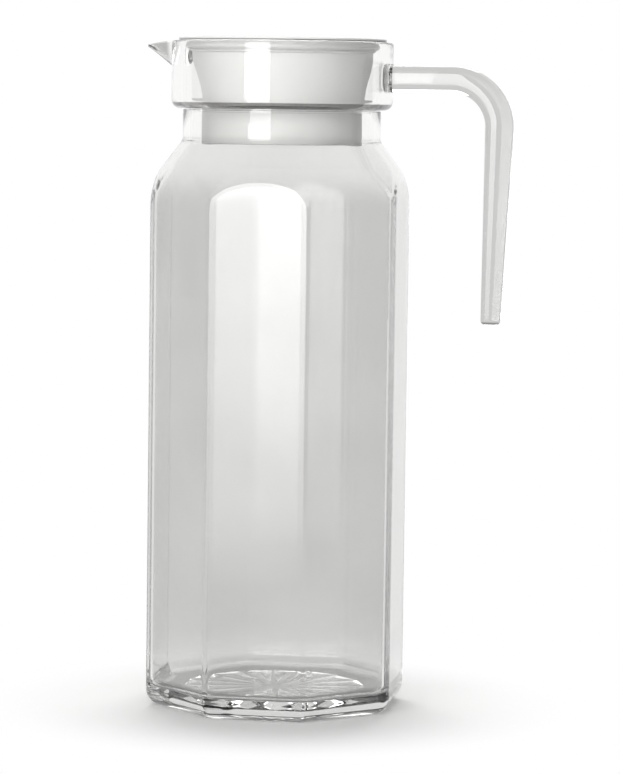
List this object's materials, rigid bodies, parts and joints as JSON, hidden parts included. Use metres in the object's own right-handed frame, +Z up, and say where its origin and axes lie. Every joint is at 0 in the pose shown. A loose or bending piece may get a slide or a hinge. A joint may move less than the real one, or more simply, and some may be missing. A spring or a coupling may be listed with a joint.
{
  "type": "water jug",
  "caption": "Faceted clear acrylic water jug with a round neck, a collar with a beak spout, an open-ended handle, and a lift-out lid that turns to pour or close.",
  "frame": {"origin": "centre of the vessel's underside, on the vessel's axis", "axes": "+Z up along the vessel's axis, +X towards the handle, -X towards the spout, +Y to the side"},
  "size_m": [0.1451, 0.097, 0.2631],
  "materials": {
    "clear_acrylic": "clear, polished",
    "white_polypropylene": "moulded, satin",
    "clear_silicone": "frosted, matt"
  },
  "bodies": {
    "jug": {"vessel": "clear_acrylic", "collar": "clear_acrylic", "handle": "clear_acrylic"},
    "seal": {"lid_seal": "clear_silicone"},
    "lid": {"lid_cap": "white_polypropylene", "pour_sleeve": "white_polypropylene"}
  },
  "joints": [
    {"name": "lid_lift", "type": "slide", "parent": "jug", "child": "seal", "axis": [0, 0, 1], "range_m": [0, 0.06]},
    {"name": "lid_turn", "type": "hinge", "parent": "seal", "child": "lid", "pos_m": [0, 0, 0.2619], "axis": [0, 0, 1], "continuous": true}
  ]
}
